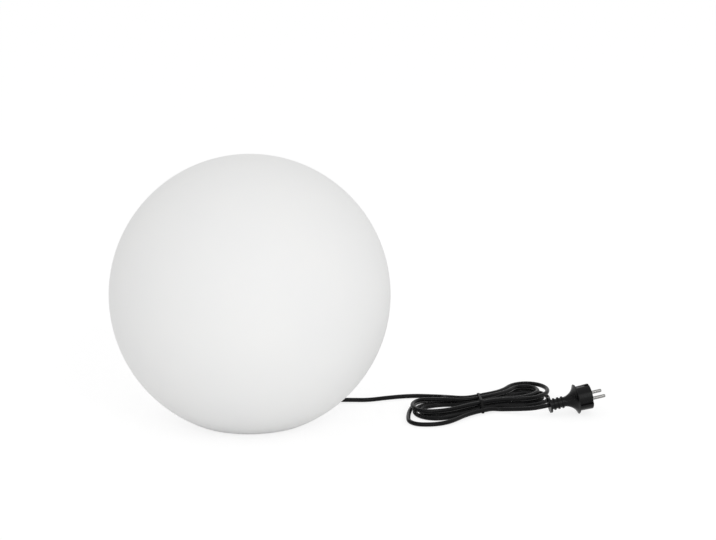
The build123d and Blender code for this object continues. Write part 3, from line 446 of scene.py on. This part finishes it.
def make_cord(material):
    """The whole free cord as one spline, with the tie and the plug on it."""
    curve = bpy.data.curves.new("cord", "CURVE")
    curve.dimensions = "3D"
    curve.resolution_u = 6
    curve.bevel_depth = CORD_RADIUS
    curve.bevel_resolution = 6
    curve.use_fill_caps = True
    spline = curve.splines.new("NURBS")
    points = cord_points()
    spline.points.add(len(points) - 1)
    for control, place in zip(spline.points, points):
        control.co = (*place, 1)
    spline.order_u = 3
    spline.use_endpoint_u = True
    cord = bpy.data.objects.new("cord", curve)
    bpy.context.scene.collection.objects.link(cord)
    curve.materials.append(material)
    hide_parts("cord_lead", "cord_hank", "cord_plug_lead")
    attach(cord, "base")


# ---------------------------------------------------------------- tie
TIE_WIDTH = 3.6 * MM
TIE_THICKNESS = 0.9 * MM
TIE_TURN = -24.0               # off square to the hank's axis, as it lies in the photograph
TIE_INSIDE = CORD_RADIUS + 0.35 * MM    # from the outer strands' lines to the band
TIE_CORNER_STEPS = 8
TIE_EDGE = 0.25 * MM
LOCK_SIZE = (5.2 * MM, 3.4 * MM, 5.4 * MM)    # along the band's width, out of the hank, up
LOCK_EDGE = 0.7 * MM
LOCK_SINK = 0.3 * MM           # of the lock into the band
EDGE_BEND = 40.0               # degrees from which a bend counts as an edge


def new_piece(name, mesh, material):
    """A smooth-shaded object of a mesh with one material."""
    mesh.materials.append(material)
    for polygon in mesh.polygons:
        polygon.use_smooth = True
    piece = bpy.data.objects.new(name, mesh)
    bpy.context.scene.collection.objects.link(piece)
    return piece


def mesh_of(name, verts, faces):
    mesh = bpy.data.meshes.new(name)
    mesh.from_pydata([tuple(v) for v in verts], [], faces)
    return mesh


def soften(piece, width, segments):
    bevel = piece.modifiers.new("edges", "BEVEL")
    bevel.width = width
    bevel.segments = segments
    bevel.limit_method = "ANGLE"
    bevel.angle_limit = radians(EDGE_BEND)


def tie_outline(reach):
    """The band's path at a distance from the outer strands' lines: across, height."""
    stretch = 1 / cos(radians(TIE_TURN))
    low = CORD_RADIUS + WAIST_LIFT
    high = low + LAYER_STEP
    corners = [
        (LAST_STRAND * MM * stretch, low, 180, 270),
        ((LOWER_BACK + STRAND_STEP) * MM * stretch, low, 270, 350),
        (OUTER_STRAND * MM * stretch, high, -10, 90),
        (UPPER_FRONT * MM * stretch, high, 90, 117),
    ]
    path = []
    for across, height, first, last in corners:
        for i in range(TIE_CORNER_STEPS + 1):
            angle = radians(first + (last - first) * i / TIE_CORNER_STEPS)
            path.append((across + reach * cos(angle), height + reach * sin(angle)))
    return path


def tie_ways():
    """The tie's own ways: across the hank, and along the width of the band."""
    side = UP.cross(heading(WAIST_HEADING + TIE_TURN))
    return side, side.cross(UP)


def make_tie_band(material):
    """The tie's flat band round the hank's waist."""
    side, along = tie_ways()
    outside = TIE_INSIDE + TIE_THICKNESS
    rings = []
    for reach, edge in ((TIE_INSIDE, -1), (outside, -1), (outside, 1), (TIE_INSIDE, 1)):
        middle = WAIST + along * edge * TIE_WIDTH / 2
        rings.append([middle + side * across + UP * height for across, height in tie_outline(reach)])
    count = len(rings[0])
    verts = [place for ring in rings for place in ring]
    faces = []
    for ring in range(len(rings)):
        after = (ring + 1) % len(rings)
        for i in range(count):
            j = (i + 1) % count
            faces.append((ring * count + i, ring * count + j, after * count + j, after * count + i))
    band = new_piece("hank_tie", mesh_of("hank_tie", verts, faces), material)
    soften(band, TIE_EDGE, 2)
    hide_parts("cable_tie")
    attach(band, "base")
    return band


def make_tie_lock(material):
    """The tie's lock, a small block on the band's far side."""
    side, along = tie_ways()
    far = (LOWER_BACK + STRAND_STEP) * MM / cos(radians(TIE_TURN)) + TIE_INSIDE + TIE_THICKNESS
    middle = WAIST + side * (far + LOCK_SIZE[1] / 2 - LOCK_SINK) + UP * (CORD_RADIUS + WAIST_LIFT)
    edges = [way * size / 2 for way, size in zip((along, side, UP), LOCK_SIZE)]
    signs = [(a, b, c) for a in (-1, 1) for b in (-1, 1) for c in (-1, 1)]
    corners = [middle + edges[0] * a + edges[1] * b + edges[2] * c for a, b, c in signs]
    sides = [(0, 1, 3, 2), (4, 6, 7, 5), (0, 4, 5, 1), (2, 3, 7, 6), (0, 2, 6, 4), (1, 5, 7, 3)]
    lock = new_piece("hank_tie_lock", mesh_of("hank_tie_lock", corners, sides), material)
    soften(lock, LOCK_EDGE, 3)
    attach(lock, "base")
    return lock


# ---------------------------------------------------------------- threads and screws
LAMP_PITCH = 3.629 * MM
LAMP_CAP_RADIUS = 13.05 * MM
LAMP_CAP_WALL = 0.4 * MM
LAMP_CAP_HOLE = 9.0 * MM
LAMP_CAP_FOOT = 11.2 * MM      # where the cap meets its insulator
LAMP_CAP_TAPER = 2.2 * MM
LAMP_CAP_GROOVE = 0.85 * MM
SHELL_BORE = 13.35 * MM
SHELL_WALL = 0.5 * MM
SHELL_HOLE = 6.5 * MM
SHELL_RIDGE = 0.95 * MM
RIM_FADE = 2.0 * MM            # over which a thread runs out at an upper rim
SHELL_FOOT_FADE = 6.0 * MM
ROW = 0.3 * MM                 # between the rings of a threaded wall
THREAD_STEPS = 72
SHARP_ANGLE = 35.0             # degrees from which an edge is shaded sharp
MERGE = 1e-7                   # metres

SCREW_PITCH = 0.7 * MM
SCREW_GROOVE = 0.16            # of the shank's radius
SCREW_TIP = 0.4 * MM
SCREW_STEPS = 28
HEAD_UPRIGHT = 0.35            # of the head's height
HEAD_FLAT = 0.55               # of the head's radius
DOME_STEPS = 5
CROSS_REACH = 0.52             # of the head's radius
CROSS_WIDTH = 0.11             # half, of the head's radius
CROSS_DEPTH = 0.55             # of the head's height
CROSS_TAPER = 0.28
# each kind's node, axis, head radius, head height and shank radius
CROSS_SCREWS = [
    ("column_screws", UP, 3.0 * MM, 2.0 * MM, 1.6 * MM),
    ("clamp_screws", heading(CORD_AZIMUTH), 2.7 * MM, 1.8 * MM, 1.5 * MM),
]


def fade(distance, length):
    """0 at no distance and 1 from the given length on."""
    t = max(0.0, min(1.0, distance / length))
    return t * t * (3 - 2 * t)


def rows(low, high, step=ROW):
    """Even heights from low to high, about a step apart."""
    count = max(1, round((high - low) / step))
    return [low + (high - low) * i / count for i in range(count + 1)]


def finished(shape, name):
    """A mesh of a bmesh, its faces all outwards."""
    bmesh.ops.recalc_face_normals(shape, faces=shape.faces)
    mesh = bpy.data.meshes.new(name)
    shape.to_mesh(mesh)
    shape.free()
    return mesh


def turned(name, profile, material, pitch, steps, place=Vector((0, 0, 0)), axis=UP):
    """A closed profile of (radius, height, groove depth) turned about an axis, with a right-hand thread."""
    first = Vector((1, 0, 0)) if axis == UP else axis.orthogonal().normalized()
    second = axis.cross(first)
    shape = bmesh.new()
    rings = []
    for a in range(steps):
        angle = 2 * pi * a / steps
        out = first * cos(angle) + second * sin(angle)
        ring = []
        for radius, height, groove in profile:
            cut = groove * (0.5 - 0.5 * cos(2 * pi * height / pitch - angle))
            ring.append(shape.verts.new(place + out * (radius - cut) + axis * height))
        rings.append(ring)
    count = len(profile)
    for a in range(steps):
        one, two = rings[a], rings[(a + 1) % steps]
        for i in range(count):
            j = (i + 1) % count
            shape.faces.new((one[i], two[i], two[j], one[j]))
    bmesh.ops.remove_doubles(shape, verts=shape.verts, dist=MERGE)
    piece = new_piece(name, finished(shape, name), material)
    piece.data.set_sharp_from_angle(angle=radians(SHARP_ANGLE))
    return piece


def make_lamp_cap(material):
    """The lamp's rolled screw cap."""
    low, high = (corner[2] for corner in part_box("bulb_cap_shell"))
    outer = []
    for height in rows(low, high):
        groove = LAMP_CAP_GROOVE * fade(high - height, RIM_FADE)
        taper = LAMP_CAP_FOOT + (LAMP_CAP_RADIUS - LAMP_CAP_FOOT) * min(1.0, (height - low) / LAMP_CAP_TAPER)
        outer.append((taper, height, groove * fade(height - low, LAMP_CAP_TAPER)))
    floor_top = low + LAMP_CAP_WALL
    wall = [row for row in outer if row[1] > floor_top]
    inner = [(radius - LAMP_CAP_WALL, height, groove) for radius, height, groove in wall]
    floor = [(LAMP_CAP_FOOT - LAMP_CAP_WALL / 2, floor_top, 0), (LAMP_CAP_HOLE, floor_top, 0)]
    profile = [(LAMP_CAP_HOLE, low, 0)] + outer + inner[::-1] + floor
    cap = turned("lamp_screw_cap", profile, material, LAMP_PITCH, THREAD_STEPS)
    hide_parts("bulb_cap_shell")
    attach(cap, "bulb")


def make_screw_shell(material):
    """The lampholder's rolled screw shell, its ridges in the cap's grooves."""
    low, high = (corner[2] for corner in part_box("screw_shell"))
    floor_top = low + SHELL_WALL
    bore = []
    for height in rows(floor_top, high):
        ridge = SHELL_RIDGE * fade(high - height, RIM_FADE) * fade(height - floor_top, SHELL_FOOT_FADE)
        bore.append((SHELL_BORE, height, ridge))
    profile = [(SHELL_HOLE, low, 0), (SHELL_BORE + SHELL_WALL, low, 0), (SHELL_BORE + SHELL_WALL, high, 0)]
    profile += bore[::-1] + [(SHELL_HOLE, floor_top, 0)]
    shell = turned("holder_screw_shell", profile, material, LAMP_PITCH, THREAD_STEPS)
    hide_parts("screw_shell")
    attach(shell, "base")


def solids(node):
    """The corners of each separate solid of a node, in the order of their middles."""
    shape = bmesh.new()
    shape.from_mesh(nodes[node].data)
    bmesh.ops.remove_doubles(shape, verts=shape.verts, dist=MERGE)
    left = set(shape.verts)
    found = []
    while left:
        group, edge = set(), [left.pop()]
        while edge:
            vert = edge.pop()
            group.add(vert)
            for link in vert.link_edges:
                other = link.other_vert(vert)
                if other in left:
                    left.discard(other)
                    edge.append(other)
        found.append([vert.co.copy() for vert in group])
    shape.free()
    return sorted(found, key=lambda group: tuple(round(v, 5) for v in sum(group, Vector()) / len(group)))


def cross_cutter(place, axis, reach, width, depth):
    """A plus-shaped prism that sinks into a screw's head and narrows downwards."""
    first = axis.orthogonal().normalized()
    second = axis.cross(first)
    corners = []
    for quarter in range(4):
        turn = quarter * pi / 2
        for a, b in ((reach, -width), (reach, width), (width, width)):
            corners.append((a * cos(turn) - b * sin(turn), a * sin(turn) + b * cos(turn)))
    shape = bmesh.new()
    levels = []
    for sign in (-1, 1):
        size = 1 + sign * CROSS_TAPER
        middle = place + axis * depth * sign
        levels.append([shape.verts.new(middle + (first * a + second * b) * size) for a, b in corners])
    shape.faces.new(levels[0])
    shape.faces.new(levels[1][::-1])
    for i in range(len(corners)):
        j = (i + 1) % len(corners)
        shape.faces.new((levels[0][i], levels[0][j], levels[1][j], levels[1][i]))
    cutter = bpy.data.objects.new("cutter", finished(shape, "cutter"))
    bpy.context.scene.collection.objects.link(cutter)
    return cutter


def cut_away(piece, cutter):
    """Takes the cutter's shape out of the piece, and drops the cutter."""
    cut = piece.modifiers.new("recess", "BOOLEAN")
    cut.object = cutter
    cut.operation = "DIFFERENCE"
    cut.solver = "EXACT"
    bpy.context.view_layer.update()
    done = piece.evaluated_get(bpy.context.evaluated_depsgraph_get())
    mesh = bpy.data.meshes.new_from_object(done)
    piece.modifiers.clear()
    piece.data = mesh
    bpy.data.objects.remove(cutter)


def screw_profile(low, high, head_radius, head_height, shank_radius):
    """A pan-head screw's half section from its tip to the middle of its head."""
    seat = high - head_height
    profile = [(0, low, 0), (shank_radius - SCREW_TIP, low, 0)]
    for height in rows(low + SCREW_TIP, seat, SCREW_PITCH / 5):
        profile.append((shank_radius, height, shank_radius * SCREW_GROOVE * fade(seat - height, SCREW_PITCH)))
    upright = seat + head_height * HEAD_UPRIGHT
    profile += [(head_radius, seat, 0), (head_radius, upright, 0)]
    for i in range(1, DOME_STEPS + 1):
        turn = pi / 2 * i / DOME_STEPS
        radius = head_radius * (HEAD_FLAT + (1 - HEAD_FLAT) * cos(turn))
        profile.append((radius, upright + (high - upright) * sin(turn), 0))
    return profile + [(0, high, 0)]


def make_cross_screws(material, node, axis, head_radius, head_height, shank_radius):
    """Pan-head screws with a cross recess and a thread, each in its solid's place."""
    for number, corners in enumerate(solids(node), 1):
        along = [corner.dot(axis) for corner in corners]
        low, high = min(along), max(along)
        across = [corner - axis * corner.dot(axis) for corner in corners]
        middle = Vector([(min(c[i] for c in across) + max(c[i] for c in across)) / 2 for i in range(3)])
        profile = screw_profile(low, high, head_radius, head_height, shank_radius)
        screw = turned(f"{node[:-1]}_{number}", profile, material, SCREW_PITCH, SCREW_STEPS, middle, axis)
        reach, width, depth = head_radius * CROSS_REACH, head_radius * CROSS_WIDTH, head_height * CROSS_DEPTH
        cut_away(screw, cross_cutter(middle + axis * high, axis, reach, width, depth))
        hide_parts(node)
        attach(screw, "base")


# ---------------------------------------------------------------- build
make_camera()
make_stage()

finishes = {
    "globe_plastic": globe_plastic(),
    "black_plastic": moulded("black_plastic", (0.012, 0.012, 0.013), 0.5, 0.3, 0.00006, 1400, wear=0.25),
    "gasket_rubber": moulded("gasket_rubber", (0.035, 0.035, 0.035), 0.85, 0.3, 0.0001, 900),
    "foot_rubber": moulded("foot_rubber", (0.05, 0.05, 0.05), 0.8, 0.3),
    "screw_steel": metal("screw_steel", (0.62, 0.62, 0.62), 0.3),
    "brass": metal("brass", (0.78, 0.62, 0.3), 0.3),
    "zinc_steel": metal("zinc_steel", (0.6, 0.61, 0.62), 0.36),
    "holder_black": moulded("holder_black", (0.009, 0.009, 0.0095), 0.28, 0.35, wear=0.25),
    "lamp_white": moulded("lamp_white", (0.84, 0.84, 0.82), 0.35, wear=0.03),
    "lamp_opal": moulded("lamp_opal", (0.9, 0.9, 0.88), 0.5, wear=0.02),
    "lamp_cap_metal": metal("lamp_cap_metal", (0.75, 0.75, 0.74), 0.28),
    "lamp_insulator": moulded("lamp_insulator", (0.028, 0.028, 0.034), 0.2),
    "lamp_board": moulded("lamp_board", (0.82, 0.82, 0.8), 0.4, wear=0.03),
    "cord_rubber": moulded("cord_rubber", (0.003, 0.003, 0.0034), 0.28, 0.12, 0.00002, 2600, wear=0.3),
    "core_brown": moulded("core_brown", (0.2, 0.09, 0.045), 0.35),
    "core_blue": moulded("core_blue", (0.045, 0.14, 0.46), 0.35),
    "core_green_yellow": moulded("core_green_yellow", (0.28, 0.46, 0.07), 0.35),
    "end_cap": moulded("end_cap", (0.76, 0.76, 0.72), 0.4, wear=0.04),
    "tie_black": moulded("tie_black", (0.003, 0.003, 0.003), 0.5, 0.12),
    "plug_rubber": moulded("plug_rubber", (0.003, 0.003, 0.0034), 0.3, 0.14, 0.00003, 1800, wear=0.3),
    "plug_bridge_black": moulded("plug_bridge_black", (0.005, 0.005, 0.005), 0.5, 0.2),
    "pin_nickel": metal("pin_nickel", (0.27, 0.267, 0.26), 0.3),
}
# the earth contacts' own duller metal, in the pins' slot
contact_metal = metal("earth_contact_metal", (0.09, 0.09, 0.09), 0.4)
for part in frame["record"]["subparts"]:
    mesh = nodes[part["node"]].data
    mesh.materials.clear()
    dull = part["node"] == "plug_earth_contacts"
    mesh.materials.append(contact_metal if dull else finishes[part["material_slot"]])

tie = make_tie_band(finishes["tie_black"])
tie_lock = make_tie_lock(finishes["tie_black"])
make_cord(finishes["cord_rubber"])
make_lamp_cap(finishes["lamp_cap_metal"])
make_screw_shell(finishes["brass"])
for kind in CROSS_SCREWS:
    make_cross_screws(finishes["zinc_steel"], *kind)
